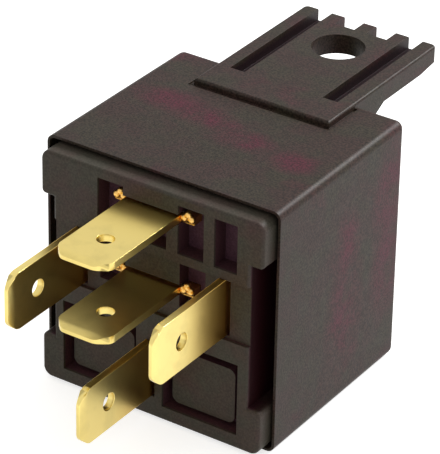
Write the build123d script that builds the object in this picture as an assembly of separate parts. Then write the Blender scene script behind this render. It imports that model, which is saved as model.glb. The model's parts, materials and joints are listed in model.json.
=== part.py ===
# Plug-in automotive relay with five blades and a bracket moulded on its case.
#
# The relay lies on the flat side of its case, as it would on a bench. X runs across it, +Y runs
# from the blades to the bracket, and +Z is up, towards the side that carries the bracket. The
# origin is the middle of the flat side that it lies on. All lengths are millimetres.
#
# Inside, the coil stands on the base with its axis along Y. The yoke's leg runs beside it, close
# to the flat side, and the armature lies over the far end of the coil and tips on the leg's end.
#
# Shapes that only cut run a millimetre or two past the faces they leave through.
from build123d import *
import math
import os

fuse_overlap = 0.1           # how far shapes that are joined run into each other

# Case
case_width = 27.2
case_height = 26.95
case_depth = 22.85
case_wall = 1.2
case_back_wall = 1.5
case_edge_radius = 0.9
case_draft = 0.18            # each side wall leans in by this much at the back
cavity_corner_radius = 0.5
lip_thickness = 0.3          # thin lip left round the mouth by the rabbet
rabbet_depth = 1.6

# Bracket, moulded in one piece with the case
bracket_width = 16.0
bracket_reach = 15.1         # beyond the back wall
bracket_thickness = 2.2
bracket_tip_thickness = 1.8
bracket_raise = 0.5          # its top above the case's top
bracket_pad_length = 5.7     # over the top of the case
bracket_edge_radius = 0.3
bracket_corner_radius = 0.6  # of the plate's two far corners
taper_past_hole = 0.4        # the plate thins from here to its tip
bracket_hole_diameter = 5.6
bracket_hole_from_tip = 6.4
groove_width = 1.75
groove_depth = 1.4
groove_to_side = 1.6         # width of the outer rail beside each long groove
groove_start = 1.6           # in front of the back wall's outer face
short_notch_length = 2.1
middle_tooth_width = 1.5
gusset_drop = 2.6            # how far the gussets run down the back wall
gusset_length = 4.8
gusset_width = 1.6
relief_depth = 0.25          # shallow groove at the foot of the pad's front edge
relief_width = 0.6
relief_side_width = 0.35     # the same groove beside the pad

# Base
base_gap = 0.3               # open gap between the base and the case's lip, at either side
base_gap_top = 0.4
base_gap_bottom = 0.05       # the base sits low in the mouth
base_stand_out = 1.9         # its face stands this far out of the mouth
base_corner_radius = 1.05
base_edge_radius = 0.35
base_plug_length = 2.6       # the part behind the rabbet
plug_gap = 0.1               # between that part and the case's walls
side_notch_depth = 1.5
side_notch_length = 5.0
side_notch_bottom = 5.35     # above the flat side
side_notch_from_top = 5.6
side_notch_radius = 0.5      # of the lugs' corners beside a notch
pocket_depth = 2.0
pocket_rim = 1.0
pocket_web = 1.2
upper_pocket_height = 5.3
ear_pocket_width = 3.0
corner_pocket_width = 2.65
middle_recess_depth = 0.45   # the shallow band across the middle of the face
middle_recess_below_87a = 3.25
middle_pocket_above = 1.55   # the middle pockets' lower end above the band's lower edge
middle_pocket_below = 0.3    # their upper end below the band's upper edge
web_under_87 = 0.8
under_pocket_right = 1.9     # where the pocket under blade 87 ends
slot_mouth_depth = 0.6
lower_pocket_inner = 1.55
lower_pocket_to_side = 2.6   # from the base's side
lower_pocket_rim = 1.6
lower_pocket_below_87a = 5.6
moat_width = 0.75
moat_above = 1.3
moat_below = 0.55
island_depth = 0.8
island_corner_radius = 0.8
bead_height = 0.25           # snap beads on the plug's broad sides
bead_length = 7.0
bead_gap = 0.05

# Blades, all of one stock
blade_width = 6.3
blade_thickness = 0.8
blade_reach = 11.85          # beyond the base's face
blade_tip_chamfer_along = 1.3
blade_tip_chamfer_across = 1.2
blade_bevel_length = 1.0
blade_bevel_depth = 0.2
blade_hole_diameter = 1.8
blade_hole_from_tip = 4.6
slot_gap = 0.05              # between a strip and its slot in the base
slot_mouth_gap = 0.3         # the wider mouth of each slot, at the face
shoulder_width = 0.8         # each shoulder of an upright blade beyond its edge
ear_shoulder_width = 1.65    # the same on the flat blades, whose ears stand on it
shoulder_start = 1.3         # behind the mouth
shoulder_length = 0.5
ear_width = 1.35
ear_gap = 0.1                # between the blade's edge and the ear
ear_recess = 0.35            # the ear's end lies this far behind the base's face
ear_lobe_diameter = 0.85     # a staked ear's end is split into three lobes
ear_lobe_spread = 0.42       # from the ear's middle to the two side lobes
ear_side_lobe_rise = 0.2     # of the side lobes above the blade's middle
ear_top_lobe_rise = 0.6
inner_bend_radius = 0.35
terminal_spacing = 0.9       # kept between two terminals inside the base

# Where the blades stand: each blade's middle
coil_blade_x = 8.4
coil_blade_above_middle = 2.3    # above the middle of the case
blade_87_below_top = 3.4
blade_30_above_flat = 5.9
blade_87a_share = 0.547          # of the way up from blade 30 to blade 87

# Magnet system
iron_thickness = 1.5
yoke_width = 11.0
yoke_to_wall = 2.0           # room for the leaf's tail and loop beside the yoke
yoke_foot_above_axis = 3.9
core_share = 0.38            # of the winding's diameter
core_stake_step = 0.6        # the core's staked end is this much thinner all round
core_stake_stand_out = 0.4
pole_share = 0.68            # of the winding's diameter
pole_thickness = 1.0
pole_chamfer = 0.2
flange_thickness = 0.9
flange_to_yoke = 0.4
flange_to_contact = 1.3      # from the flange to the contacts' middle line
flange_to_post = 0.5
flange_corner_radius = 1.2
bobbin_tube_wall = 0.65
core_gap = 0.05
winding_below_flange = 0.9   # the winding stays this far inside the flanges' edges
lead_diameter = 0.3
lead_bend_radius = 0.21
lead_approach = 0.4          # the lead turns this far before the post
post_width = 0.9
post_length = 3.2            # beyond the plug's inner end

# Armature, leaf and contacts
armature_width = 11.0
armature_tip_width = 7.0
armature_to_arm = 1.45       # from its free end to the fixed contacts' arms
armature_neck_above_axis = 0.5
armature_rivet_above_axis = 0.9
armature_gap = 0.03          # left between pole and armature when it is pulled in
hinge_overlap = 0.15         # the armature's end passes the hinge edge by this much
open_angle = 2.5             # degrees that the armature turns when it is pulled in
leaf_thickness = 0.25
leaf_width = 9.0
leaf_tip_width = 3.4
leaf_window_width = 4.0
leaf_loop_drop = 1.2         # how far the leaf's loop hangs below the yoke
leaf_tail_share = 0.67       # of the yoke's leg that the tail covers
leaf_bend_radius = 0.9
leaf_joggle_share = 0.45     # of the tail, where it starts to leave the yoke
leaf_joggle_length = 1.6
leaf_shoulder_above_rivet = 1.8
leaf_neck_length = 3.0
leaf_window_above_hinge = 3.0
contact_to_roof = 4.2        # from the contacts' middle to the inside of the case
room_behind_hinge = 6.1      # from the hinge edge to the inside of the back wall
contact_diameter = 2.6
contact_shank_diameter = 1.4
contact_dome = 0.25
contact_head = 0.7
contact_tail_head = 0.3
contact_tail_diameter = 2.1
contact_gap_closed = 0.03    # left where two contacts meet, at either end of the travel
rivet_diameter = 1.6
rivet_head_diameter = 2.6
rivet_head = 0.45
rivet_pitch = 5.0
rivet_gap = 0.02
rivet_inset = 0.05           # the flush end lies this far inside the hole
arm_width = 5.0
nc_riser_width = 3.0
nc_riser_x = 5.4
nc_foot_half = 2.0           # half the width of terminal 87a's foot under the coil
arm_margin = 1.5             # metal round a fixed contact's middle
nc_over_87 = 1.0             # its strip crosses this far above blade 87's middle
nc_turn_start = 1.2          # its strip turns sideways between these two heights above its blade
nc_turn_end = 4.0
terminal_rivet_x = 2.6
terminal_rivet_above_30 = 1.1
tail_rivet_share = 0.49      # of the yoke's leg, from the hinge edge
recess_gap = 0.2             # round what the base's inner recesses make room for

# Worked out from the sizes above
mouth_y = -case_depth / 2
back_y = case_depth / 2
case_middle_z = case_height / 2
bracket_tip_y = back_y + bracket_reach
face_y = mouth_y - base_stand_out
shoulder_y = mouth_y + rabbet_depth
plug_end_y = shoulder_y + base_plug_length
base_width = case_width - 2 * (lip_thickness + base_gap)
base_low_z = lip_thickness + base_gap_bottom
base_top_z = case_height - lip_thickness - base_gap_top
side_notch_top = case_height - side_notch_from_top
notch_inner_x = base_width / 2 - side_notch_depth
cavity_width = case_width - 2 * case_wall
cavity_height = case_height - 2 * case_wall
plug_width = cavity_width - 2 * plug_gap
plug_height = cavity_height - 2 * plug_gap
tip_y = face_y - blade_reach
bracket_top_z = case_height + bracket_raise
pocket_floor_y = face_y + pocket_depth

coil_blade_z = case_middle_z + coil_blade_above_middle
blade_87_z = case_height - blade_87_below_top
blade_30_z = blade_30_above_flat
blade_87a_z = blade_30_z + blade_87a_share * (blade_87_z - blade_30_z)
middle_recess_bottom = blade_87a_z - middle_recess_below_87a
lower_pocket_low = base_low_z + lower_pocket_rim
lower_pocket_top = blade_87a_z - lower_pocket_below_87a
terminal_rivet_z = blade_30_z + terminal_rivet_above_30
contact_z = case_height - case_wall - contact_to_roof

foot_y = plug_end_y
yoke_inner_y = foot_y + iron_thickness
lower_flange_y = yoke_inner_y
winding_y = lower_flange_y + flange_thickness
hinge_y = back_y - case_back_wall - room_behind_hinge
pole_y = hinge_y - pole_thickness
upper_flange_y = pole_y - flange_thickness
yoke_outer_z = case_wall + yoke_to_wall
hinge_z = yoke_outer_z
yoke_leg_length = hinge_y - foot_y
tail_rivet_y = hinge_y - tail_rivet_share * yoke_leg_length
leaf_tail_length = leaf_tail_share * yoke_leg_length

flange_low_z = yoke_outer_z + iron_thickness + flange_to_yoke
flange_height = contact_z - flange_to_contact - flange_low_z
flange_width = 2 * (coil_blade_x - blade_thickness / 2 - flange_to_post)
coil_axis_z = flange_low_z + flange_height / 2
winding_diameter = min(flange_width, flange_height) - 2 * winding_below_flange
core_diameter = core_share * winding_diameter
core_stake_diameter = core_diameter - 2 * core_stake_step
pole_diameter = pole_share * winding_diameter
tube_diameter = core_diameter + 2 * (core_gap + bobbin_tube_wall)
armature_low_z = hinge_z - hinge_overlap
armature_high_z = contact_z - arm_margin - armature_to_arm
armature_rivet_z = coil_axis_z + armature_rivet_above_axis
armature_y = hinge_y + armature_gap
leaf_y = armature_y + iron_thickness
leaf_back_y = leaf_y + leaf_thickness
travel = (contact_z - hinge_z) * math.sin(math.radians(open_angle))
no_face_y = leaf_y - contact_head - contact_gap_closed
no_arm_y = no_face_y - contact_head
nc_face_y = leaf_back_y + contact_head + travel + contact_gap_closed
nc_arm_y = nc_face_y + contact_head
strip_y = mouth_y + shoulder_start
nc_foot_y = strip_y + shoulder_length + terminal_spacing
nc_riser_z = blade_87_z + nc_over_87
nc_turn_low = blade_87a_z + nc_turn_start
nc_turn_high = blade_87a_z + nc_turn_end


def block(x0, x1, y0, y1, z0, z1):
    """A box between two opposite corners."""
    middle = Pos((x0 + x1) / 2, (y0 + y1) / 2, (z0 + z1) / 2)
    return middle * Box(abs(x1 - x0), abs(y1 - y0), abs(z1 - z0))


def bar_along_y(width, height, radius, y_start, y_end, z_middle, x_middle=0.0):
    """A bar along Y with a rounded rectangular section."""
    plane = Plane.XZ.offset(-y_start) * Pos(x_middle, z_middle)
    return extrude(plane * RectangleRounded(width, height, radius), amount=y_start - y_end)


def rod_along_y(diameter, y_start, y_end, x, z):
    """A round rod along Y."""
    plane = Plane.XZ.offset(-y_start) * Pos(x, z)
    return extrude(plane * Circle(diameter / 2), amount=y_start - y_end)


def rod_along_z(diameter, z_start, z_end, x, y):
    """A round rod along Z."""
    return extrude(Plane.XY.offset(z_start) * Pos(x, y) * Circle(diameter / 2), amount=z_end - z_start)


def rod_along_x(diameter, x_start, x_end, y, z):
    """A round rod along X."""
    return extrude(Plane.YZ.offset(x_start) * Pos(y, z) * Circle(diameter / 2), amount=x_end - x_start)


def bent_strip(points, thickness, x0, x1):
    """A strip bent from sheet. The points give its middle line as (y, z) and x0, x1 its edges."""
    line = FilletPolyline(*points, radius=inner_bend_radius + thickness / 2)
    return extrude(Plane.YZ.offset(x0) * trace(line, thickness), amount=x1 - x0)


def headed(head, diameter, dome, shank, shank_diameter):
    """A rivet along Y. Its head rises from y = 0 to +Y and ends in a dome; its shank runs to -Y."""
    r = diameter / 2
    sphere_radius = (r * r + dome * dome) / (2 * dome)
    half_way = head - sphere_radius + math.sqrt(sphere_radius ** 2 - (r / 2) ** 2)
    outline = [
        Line((0, 0), (r, 0)),
        Line((r, 0), (r, head - dome)),
        ThreePointArc((r, head - dome), (r / 2, half_way), (0, head)),
        Line((0, head), (0, 0)),
    ]
    turned = revolve(make_face(outline), Axis.Y)
    return turned + rod_along_y(shank_diameter, -shank, 0, 0, 0)


def opened(shape):
    """The place at rest of something built with the armature pulled in."""
    return shape.rotate(Axis((0, hinge_y, hinge_z), (1, 0, 0)), -open_angle)


def opened_point(y, z):
    """The same turn for one point, given as (y, z)."""
    turn = math.radians(-open_angle)
    across, up = y - hinge_y, z - hinge_z
    return (
        hinge_y + across * math.cos(turn) - up * math.sin(turn),
        hinge_z + across * math.sin(turn) + up * math.cos(turn),
    )


def one_solid(shape):
    """The only solid of a shape that is meant to be in one piece."""
    found = shape.solids()
    if len(found) != 1:
        raise ValueError(f"expected one solid, found {len(found)}")
    return found[0]


# The case

def tapered_box(width, height, y_start, y_end, z_bottom, radius, lean):
    """A box along Y whose side walls lean in towards y_end, with its long and far edges rounded."""
    plan = Polygon(
        (-width / 2, y_start), (width / 2, y_start),
        (width / 2 - lean, y_end), (lean - width / 2, y_end),
        align=None,
    )
    box = extrude(Plane.XY.offset(z_bottom) * plan, amount=height)
    edges = box.edges().filter_by(lambda e: e.center().Y > y_start + 0.01)
    return fillet(edges, radius)


def bracket_plate():
    """The slotted plate with its pad on top of the case, before its grooves."""
    pad_y = back_y - bracket_pad_length
    side = Polyline(
        (pad_y, bracket_top_z),
        (bracket_tip_y, bracket_top_z),
        (bracket_tip_y, bracket_top_z - bracket_tip_thickness),
        (bracket_tip_y - bracket_hole_from_tip + bracket_hole_diameter / 2 + taper_past_hole,
         bracket_top_z - bracket_thickness),
        (pad_y, bracket_top_z - bracket_thickness),
        close=True,
    )
    plate = extrude(Plane.YZ * make_face(side), amount=bracket_width / 2, both=True)
    corners = plate.edges().filter_by(Axis.Z).filter_by(lambda e: e.center().Y > back_y)
    plate = fillet(corners, bracket_corner_radius)
    rims = plate.edges().filter_by(lambda e: abs(e.center().Z - bracket_top_z) < 0.01)
    return fillet(rims, bracket_edge_radius)


def bracket_cuts():
    """The two long grooves, the two short notches between the middle teeth, and the hole."""
    floor_z = bracket_top_z - groove_depth
    over = bracket_top_z + 1
    past = bracket_tip_y + 1
    groove_inner = bracket_width / 2 - groove_to_side - groove_width
    cuts = rod_along_z(
        bracket_hole_diameter, bracket_top_z - 2 * bracket_thickness, over,
        0, bracket_tip_y - bracket_hole_from_tip,
    )
    for side in (-1, 1):
        outer = side * (groove_inner + groove_width)
        cuts += block(side * groove_inner, outer, back_y - groove_start, past, floor_z, over)
        notch_inner = side * middle_tooth_width / 2
        notch_outer = side * (groove_inner - middle_tooth_width)
        cuts += block(
            notch_inner, notch_outer, bracket_tip_y - short_notch_length, past,
            floor_z, over,
        )
    return cuts


def gusset(x_middle):
    """A rib under the plate, sloping down to the back wall."""
    underside = bracket_top_z - bracket_thickness
    top = underside + fuse_overlap
    profile = Polygon(
        (back_y - case_back_wall / 2, top),
        (back_y + gusset_length, top),
        (back_y + gusset_length, underside),
        (back_y, underside - gusset_drop),
        (back_y - case_back_wall / 2, underside - gusset_drop),
        align=None,
    )
    return extrude(Plane.YZ.offset(x_middle) * profile, amount=gusset_width / 2, both=True)


def pad_relief():
    """The shallow groove round the foot of the bracket's pad, at its front and both sides."""
    pad_y = back_y - bracket_pad_length
    half = bracket_width / 2 + relief_side_width
    groove = block(
        -half, half, pad_y - relief_width, back_y - case_edge_radius,
        case_height - relief_depth, case_height + 1,
    )
    pad = block(-bracket_width / 2, bracket_width / 2, pad_y, back_y, 0, case_height + 1)
    return groove - pad


def bead_rods(diameter):
    """The rods that stand for the snap beads on the base and for their grooves in the case."""
    y = shoulder_y + base_plug_length / 2
    rods = [
        rod_along_x(diameter, -bead_length / 2, bead_length / 2, y, case_middle_z + side * plug_height / 2)
        for side in (-1, 1)
    ]
    return rods[0] + rods[1]


def make_case():
    """The cover, open at the mouth, with its bracket."""
    shell = tapered_box(
        case_width, case_height, mouth_y, back_y, 0, case_edge_radius, case_draft)
    gusset_x = (bracket_width - gusset_width) / 2
    shell += bracket_plate() + gusset(-gusset_x) + gusset(gusset_x)
    shell -= bracket_cuts() + pad_relief()
    shell -= tapered_box(
        cavity_width, cavity_height, mouth_y, back_y - case_back_wall, case_wall,
        cavity_corner_radius, case_draft,
    )
    shell -= bar_along_y(
        case_width - 2 * lip_thickness, case_height - 2 * lip_thickness,
        case_edge_radius - lip_thickness, mouth_y - 1, shoulder_y, case_middle_z,
    )
    shell -= bead_rods(2 * (bead_height + plug_gap + bead_gap))
    return one_solid(shell)


# The terminals

def blade(ears=False):
    """One blade with its shoulders, flat in the XY plane and along Y, at its true place in Y."""
    half = blade_width / 2
    thick = blade_thickness / 2
    end_y = strip_y + shoulder_length
    outline = Polygon(
        (-half, end_y),
        (-half, tip_y + blade_tip_chamfer_along),
        (blade_tip_chamfer_across - half, tip_y),
        (half - blade_tip_chamfer_across, tip_y),
        (half, tip_y + blade_tip_chamfer_along),
        (half, end_y),
        align=None,
    )
    section = Polygon(
        (tip_y, blade_bevel_depth - thick),
        (tip_y + blade_bevel_length, -thick),
        (end_y, -thick),
        (end_y, thick),
        (tip_y + blade_bevel_length, thick),
        (tip_y, thick - blade_bevel_depth),
        align=None,
    )
    body = extrude(outline, amount=thick, both=True)
    body &= extrude(Plane.YZ * section, amount=half, both=True)
    body -= rod_along_z(blade_hole_diameter, -1, 1, 0, tip_y + blade_hole_from_tip)
    wide = half + (ear_shoulder_width if ears else shoulder_width)
    body += block(-wide, wide, strip_y, end_y, -thick, thick)
    if ears:
        for side in (-1, 1):
            body += ear(side)
    return body


def ear(side):
    """A narrow ear beside the blade, whose end is staked into three lobes in the base's pocket."""
    inner = blade_width / 2 + ear_gap
    radius = ear_lobe_diameter / 2
    lobe_y = face_y + ear_recess + radius
    body = block(
        side * inner, side * (inner + ear_width), lobe_y, strip_y + shoulder_length,
        -blade_thickness / 2, blade_thickness / 2,
    )
    middle_x = side * (inner + ear_width / 2)
    for x, z in (
        (middle_x - ear_lobe_spread, ear_side_lobe_rise),
        (middle_x + ear_lobe_spread, ear_side_lobe_rise),
        (middle_x, ear_top_lobe_rise),
    ):
        body += Pos(x, lobe_y, z) * Sphere(radius)
    return body


def upright(shape):
    """Turns a flat blade on its edge."""
    return Rot(0, 90, 0) * shape


def make_coil_terminal(side):
    """Terminal 85 or 86: an upright blade with a narrow post for the coil's wire."""
    body = upright(blade())
    thick = blade_thickness / 2
    post = block(
        -thick, thick, strip_y + shoulder_length - fuse_overlap, plug_end_y + post_length,
        -post_width / 2, post_width / 2,
    )
    return one_solid(Pos(side * coil_blade_x, 0, coil_blade_z) * (body + post))


def make_terminal_30():
    """The upright blade whose inner end turns flat under the yoke's foot."""
    tab_y = foot_y - blade_thickness / 2
    reach = terminal_rivet_x + blade_thickness + rivet_diameter
    line = FilletPolyline(
        (0, strip_y), (0, tab_y), (reach, tab_y),
        radius=inner_bend_radius + blade_thickness / 2,
    )
    top = blade_30_z + blade_width / 2
    low = terminal_rivet_z - (top - terminal_rivet_z)
    tab = extrude(Plane.XY.offset(low) * trace(line, blade_thickness), amount=top - low)
    body = Pos(0, 0, blade_30_z) * upright(blade()) + tab
    body -= rod_along_y(
        rivet_diameter + 2 * rivet_gap, foot_y - 2, foot_y + 1, terminal_rivet_x, terminal_rivet_z)
    return one_solid(body)


def make_terminal_87():
    """The top blade. Its strip runs up beside the coil and turns in to carry a fixed contact."""
    body = Pos(0, 0, blade_87_z) * blade(ears=True)
    arm_y = no_arm_y - blade_thickness / 2
    body += bent_strip(
        [(strip_y, blade_87_z), (arm_y, blade_87_z), (arm_y, contact_z - arm_margin)],
        blade_thickness, -arm_width / 2, arm_width / 2,
    )
    body -= rod_along_y(
        contact_shank_diameter + 2 * rivet_gap, no_arm_y - 2, no_arm_y + 1, 0, contact_z)
    return one_solid(body)


def nc_strip():
    """The strip inside terminal 87a.

    It rises behind the base to the side of terminal 87, runs along the coil and turns down again
    in front of the back wall. It is bent full width and then trimmed to its outline.
    """
    foot = nc_foot_y + blade_thickness / 2
    arm = nc_arm_y + blade_thickness / 2
    left = -blade_width / 2
    right = nc_riser_x + nc_riser_width / 2
    riser_left = nc_riser_x - nc_riser_width / 2
    strip = bent_strip(
        [(strip_y, blade_87a_z), (foot, blade_87a_z), (foot, nc_riser_z), (arm, nc_riser_z),
         (arm, contact_z - arm_margin)],
        blade_thickness, left, right,
    )
    near = strip_y - 1
    before_arm = arm - 2
    past_arm = arm + 1
    ceiling = case_height
    strip -= block(nc_foot_half, right + 1, near, foot + 1, 0, nc_turn_low)
    strip -= block(left - 1, -nc_foot_half, strip_y + shoulder_length, before_arm, 0, ceiling)
    strip -= block(left - 1, riser_left, near, before_arm, nc_turn_high, ceiling)
    strip -= block(left - 1, riser_left, before_arm, past_arm, contact_z + arm_margin, ceiling)
    strip -= block(left - 1, -arm_margin, before_arm, past_arm, 0, ceiling)
    return strip


def make_terminal_87a():
    """The middle blade, whose strip passes round terminal 87 and holds the contact above it."""
    body = Pos(0, 0, blade_87a_z) * blade(ears=True) + nc_strip()
    body -= rod_along_y(
        contact_shank_diameter + 2 * rivet_gap, nc_arm_y - 1, nc_arm_y + 2, 0, contact_z)
    return one_solid(body)


# The base

def mirrored(shape):
    """A shape together with its mirror image across the relay's middle."""
    return shape + mirror(shape, Plane.YZ)


def blade_slot(x, z, is_upright, ears=False):
    """What a blade needs cut in the base: its slot, the wider mouth, and room for its shoulders."""
    half = blade_width / 2
    thick = blade_thickness / 2
    slot = block(
        -half - slot_gap, half + slot_gap, face_y - 1, plug_end_y + 1, -thick - slot_gap, thick + slot_gap)
    slot += block(
        -half - slot_gap, half + slot_gap, face_y - 1, face_y + middle_recess_depth + slot_mouth_depth,
        -thick - slot_gap, thick + slot_mouth_gap,
    )
    wide = half + (ear_shoulder_width if ears else shoulder_width) + slot_gap
    slot += block(-wide, wide, strip_y, plug_end_y + 1, -thick - slot_gap, thick + slot_gap)
    if ears:
        inner = half + ear_gap - slot_gap
        outer = half + ear_gap + ear_width + slot_gap
        for side in (-1, 1):
            slot += block(
                side * inner, side * outer, face_y - 1, strip_y + 1, -thick - slot_gap,
                thick + slot_gap,
            )
    return Pos(x, 0, z) * (upright(slot) if is_upright else slot)


def face_pockets():
    """The hollows in the base's face that keep its walls even in thickness."""
    front = face_y - 1
    ear_inner = blade_width / 2 + ear_gap - slot_gap
    row_top = base_top_z - pocket_rim
    row_low = row_top - upper_pocket_height
    ear_outer = ear_inner + ear_pocket_width
    corner_inner = ear_outer + pocket_web
    cuts = mirrored(block(ear_inner, ear_outer, front, pocket_floor_y, row_low, row_top))
    cuts += block(corner_inner, corner_inner + corner_pocket_width, front, pocket_floor_y, row_low, row_top)
    under_87 = blade_87_z - blade_thickness / 2 - web_under_87
    cuts += block(-ear_inner, under_pocket_right, front, pocket_floor_y, row_low, under_87)
    middle_top = row_low - pocket_rim
    cuts += block(
        -notch_inner_x - 1, notch_inner_x + 1, front, face_y + middle_recess_depth,
        middle_recess_bottom, middle_top,
    )
    cuts += mirrored(block(
        ear_inner, ear_outer, front, pocket_floor_y, middle_recess_bottom + middle_pocket_above,
        middle_top - middle_pocket_below,
    ))
    return cuts


def lower_pocket(side):
    """One of the two large pockets beside terminal 30, with the low island in its middle."""
    front = face_y - 1
    inner = lower_pocket_inner
    outer = base_width / 2 - lower_pocket_to_side
    moat = block(
        side * inner, side * outer, front, pocket_floor_y, lower_pocket_low, lower_pocket_top)
    low = lower_pocket_low + moat_below
    top = lower_pocket_top - moat_above
    island = bar_along_y(
        outer - inner - 2 * moat_width, top - low, island_corner_radius, face_y + island_depth,
        pocket_floor_y + 1, (low + top) / 2, side * (inner + outer) / 2,
    )
    return moat - island


def notched_flange(notch):
    """The flange with a notch in each side, its lugs' corners and its face's rim rounded."""
    flange = bar_along_y(
        base_width, base_top_z - base_low_z, base_corner_radius, face_y, shoulder_y,
        (base_low_z + base_top_z) / 2,
    )
    flange -= mirrored(notch)
    lug_corners = flange.edges().filter_by(Axis.Y).filter_by(
        lambda e: abs(e.center().X) > base_width / 2 - 0.01
        and min(abs(e.center().Z - side_notch_bottom), abs(e.center().Z - side_notch_top)) < 0.01)
    flange = fillet(lug_corners, side_notch_radius)
    rim = flange.edges().filter_by(lambda e: abs(e.center().Y - face_y) < 0.01)
    return fillet(rim, base_edge_radius)


def make_base():
    """The moulded header: a flange in the case's rabbet and a plug behind it."""
    notch = block(
        notch_inner_x, case_width, face_y - 1, face_y + side_notch_length, side_notch_bottom,
        side_notch_top,
    )
    body = notched_flange(notch) + bar_along_y(
        plug_width, plug_height, cavity_corner_radius, shoulder_y - fuse_overlap, plug_end_y,
        case_middle_z,
    )
    body += bead_rods(2 * (bead_height + plug_gap))
    body -= mirrored(notch)
    body -= face_pockets() + lower_pocket(-1) + lower_pocket(1)
    body -= blade_slot(-coil_blade_x, coil_blade_z, True)
    body -= blade_slot(coil_blade_x, coil_blade_z, True)
    body -= blade_slot(0, blade_30_z, True)
    body -= blade_slot(0, blade_87_z, False, ears=True)
    body -= blade_slot(0, blade_87a_z, False, ears=True)
    body -= inner_recesses()
    return one_solid(body)


def inner_recesses():
    """Room on the base's inner side for the tab, the rivet, the core's end and terminal 87a."""
    past = plug_end_y + 1
    thick = blade_thickness / 2
    bend = inner_bend_radius + slot_gap
    tab_right = terminal_rivet_x + blade_thickness + rivet_diameter + slot_gap
    tab_top = blade_30_z + blade_width / 2 + slot_gap
    tab_low = 2 * terminal_rivet_z - tab_top
    tab_y = foot_y - blade_thickness
    cuts = block(-thick - slot_gap, tab_right, tab_y - slot_gap, past, tab_low, tab_top)
    cuts += block(-thick - slot_gap, thick + bend, tab_y - bend, past, tab_low, tab_top)
    cuts += rod_along_y(
        rivet_head_diameter + 2 * recess_gap, tab_y - rivet_head - recess_gap, past,
        terminal_rivet_x, terminal_rivet_z,
    )
    cuts += rod_along_y(
        core_stake_diameter + 2 * recess_gap, foot_y - core_stake_stand_out - recess_gap, past,
        0, coil_axis_z,
    )
    half = nc_foot_half + slot_gap
    left = nc_riser_x - nc_riser_width / 2 - slot_gap
    right = nc_riser_x + nc_riser_width / 2 + slot_gap
    low = blade_87a_z - thick - slot_gap
    high = blade_87a_z + thick + bend
    top = nc_riser_z + thick + slot_gap
    foot = nc_foot_y - slot_gap
    cuts += block(-half, half, nc_foot_y - bend, past, low, high)
    cuts += block(-half, half, foot, past, low, nc_turn_high)
    cuts += block(-half, right, foot, past, nc_turn_low - slot_gap, nc_turn_high + slot_gap)
    return cuts + block(left, right, foot, past, nc_turn_low, top)


# The magnet system

def make_yoke():
    """The L of soft iron: its foot lies under the coil and its leg ends in the hinge edge."""
    middle = iron_thickness / 2
    foot_top = coil_axis_z + yoke_foot_above_axis
    body = bent_strip(
        [(foot_y + middle, foot_top), (foot_y + middle, yoke_outer_z + middle),
         (hinge_y, yoke_outer_z + middle)],
        iron_thickness, -yoke_width / 2, yoke_width / 2,
    )
    body -= rod_along_y(
        core_stake_diameter + 2 * rivet_gap, foot_y - 1, yoke_inner_y + 1, 0, coil_axis_z)
    body -= rod_along_y(
        rivet_diameter + 2 * rivet_gap, foot_y - 1, yoke_inner_y + 1, terminal_rivet_x,
        terminal_rivet_z,
    )
    for side in (-1, 1):
        body -= rod_along_z(
            rivet_diameter + 2 * rivet_gap, yoke_outer_z - 1, yoke_outer_z + 2 * iron_thickness,
            side * rivet_pitch / 2, tail_rivet_y,
        )
    return one_solid(body)


def make_core():
    """The round core with its pole head, and its thinner end staked in the yoke's foot."""
    body = rod_along_y(core_stake_diameter, foot_y - core_stake_stand_out, yoke_inner_y, 0, coil_axis_z)
    body += rod_along_y(core_diameter, yoke_inner_y, pole_y, 0, coil_axis_z)
    pole = rod_along_y(pole_diameter, pole_y, hinge_y, 0, coil_axis_z)
    rims = pole.edges().filter_by(GeomType.CIRCLE)
    return one_solid(body + chamfer(rims, pole_chamfer))


def make_bobbin():
    """The spool: a tube round the core with a square flange at each end."""
    body = rod_along_y(tube_diameter, lower_flange_y, pole_y, 0, coil_axis_z)
    for y in (lower_flange_y, upper_flange_y):
        body += bar_along_y(
            flange_width, flange_height, flange_corner_radius, y, y + flange_thickness, coil_axis_z)
    body -= rod_along_y(core_diameter + 2 * core_gap, lower_flange_y - 1, pole_y + 1, 0, coil_axis_z)
    return one_solid(body)


def make_winding():
    """The wound wire as one body between the flanges."""
    body = rod_along_y(winding_diameter, winding_y, upper_flange_y, 0, coil_axis_z)
    body -= rod_along_y(tube_diameter, winding_y - 1, upper_flange_y + 1, 0, coil_axis_z)
    return one_solid(body)


def make_lead(side):
    """The coil's end: it leaves the winding at a tangent and hooks round a terminal's post."""
    y = winding_y + 2 * lead_diameter
    off = lead_diameter / 2 + rivet_gap
    over_z = coil_blade_z + post_width / 2 + off
    under_z = coil_blade_z - post_width / 2 - off
    near_x = coil_blade_x - blade_thickness / 2 - lead_approach
    far_x = coil_blade_x + blade_thickness / 2 + off
    radius = winding_diameter / 2 + off
    away = math.hypot(near_x, over_z - coil_axis_z)
    angle = math.atan2(over_z - coil_axis_z, near_x) + math.acos(radius / away)
    start = (radius * math.cos(angle), y, coil_axis_z + radius * math.sin(angle))
    path = FilletPolyline(
        start, (near_x, y, over_z), (far_x, y, over_z), (far_x, y, under_z),
        (near_x + lead_diameter, y, under_z),
        radius=lead_bend_radius,
    )
    section = Plane(origin=path @ 0, z_dir=path % 0) * Circle(lead_diameter / 2)
    wire = sweep(section, path=path)
    return one_solid(wire if side > 0 else mirror(wire, Plane.YZ))


# The armature and what it carries, built pulled in and then opened

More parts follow.
